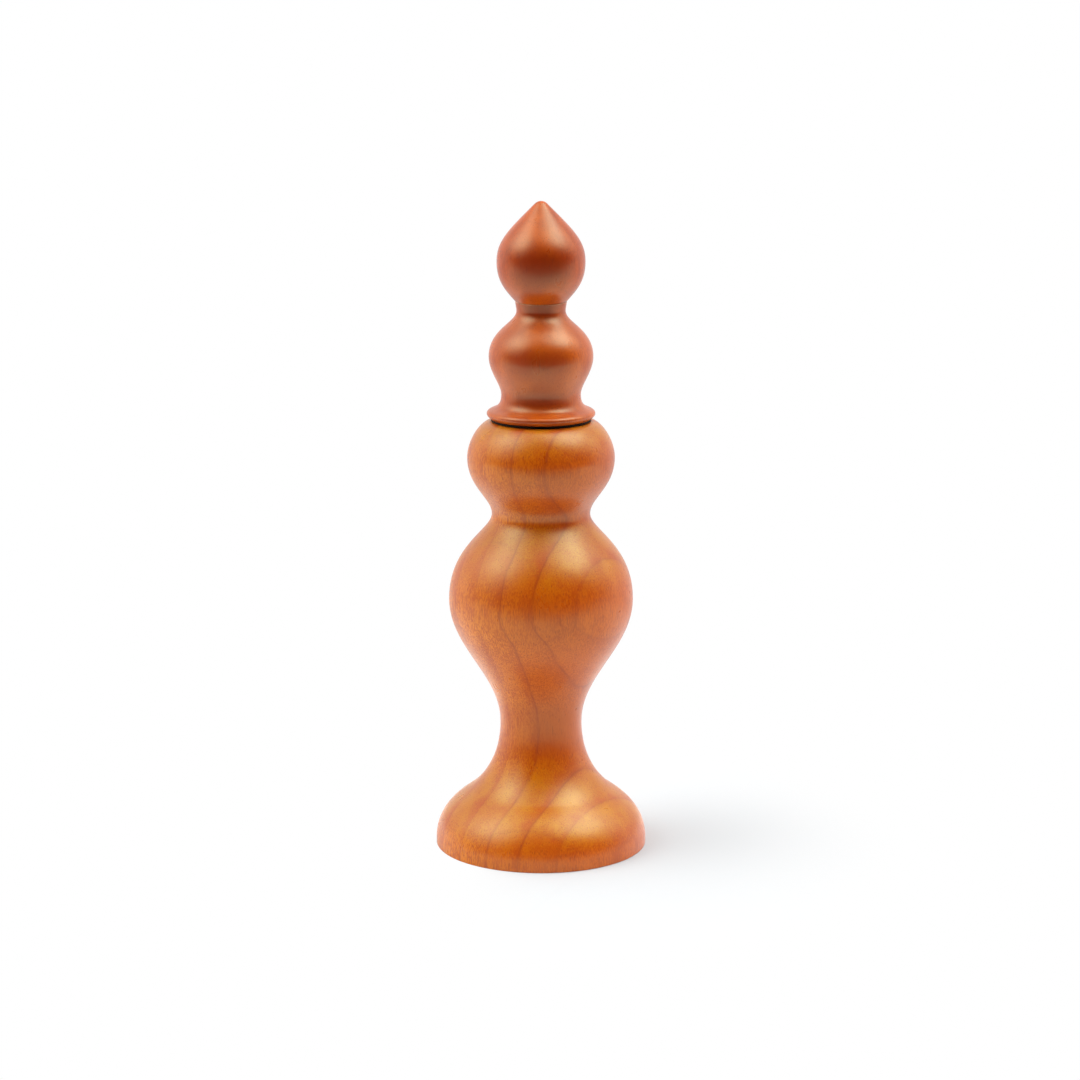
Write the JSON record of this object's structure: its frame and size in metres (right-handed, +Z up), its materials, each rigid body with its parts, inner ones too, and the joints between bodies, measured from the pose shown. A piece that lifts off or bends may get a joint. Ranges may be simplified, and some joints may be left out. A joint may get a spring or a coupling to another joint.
{
  "type": "spice grinder",
  "caption": "Turned wooden hand mill for spices: its head turns a shaft with a toothed cone in the foot, and the finial screws down to set the grind.",
  "frame": {"origin": "centre of the foot's underside, on the surface that the grinder stands on", "axes": "+Z up along the turning axis, from the foot to the finial's tip; +X along the bridge under the foot; +Y across it"},
  "size_m": [0.0848, 0.0848, 0.26],
  "materials": {
    "body_wood": "satin orange-brown lacquer over turned wood",
    "head_wood": "satin lacquer over turned wood, darker and redder than the body",
    "black_nylon": "moulded, matt",
    "pale_nylon": "turned, slightly waxy",
    "bright_steel": "drawn or stamped, zinc plated",
    "dark_steel": "hardened, with cut teeth",
    "brass": "turned"
  },
  "bodies": {
    "base": {"body": "body_wood", "grinder_housing": "black_nylon", "housing_screws": "bright_steel", "grinding_ring": "dark_steel", "bridge": "bright_steel", "bridge_bush": "brass", "bridge_screws": "bright_steel", "spring_washer": "bright_steel"},
    "carrier": {"slip_ring": "black_nylon", "shaft_bush": "pale_nylon"},
    "head_unit": {"head": "head_wood", "drive_plate": "bright_steel", "drive_plate_screws": "bright_steel", "thrust_washer": "bright_steel"},
    "drive": {"drive_shaft": "bright_steel", "rotor": "dark_steel", "rotor_clip": "bright_steel", "spring": "bright_steel"},
    "finial_unit": {"finial": "head_wood", "finial_insert": "brass"}
  },
  "joints": [
    {"name": "head_spin", "type": "hinge", "parent": "base", "child": "carrier", "pos_m": [0, 0, 0.174], "axis": [0, 0, 1], "continuous": true},
    {"name": "head_lift", "type": "slide", "parent": "carrier", "child": "head_unit", "axis": [0, 0, 1], "range_m": [0, 0.09]},
    {"name": "finial_turn", "type": "hinge", "parent": "head_unit", "child": "finial_unit", "pos_m": [0, 0, 0.2207], "axis": [0, 0, 1], "range_deg": [-270, 270]},
    {"name": "grind_setting", "type": "slide", "parent": "carrier", "child": "drive", "axis": [0, 0, 1], "range_m": [-0.0006, 0.0006], "stiffness_N_per_m": 2700, "springref_m": -0.002, "deforming": ["spring"]}
  ],
  "couplings": [
    {"joint": "finial_turn", "follows": "grind_setting", "rad_per_m": -7854}
  ]
}
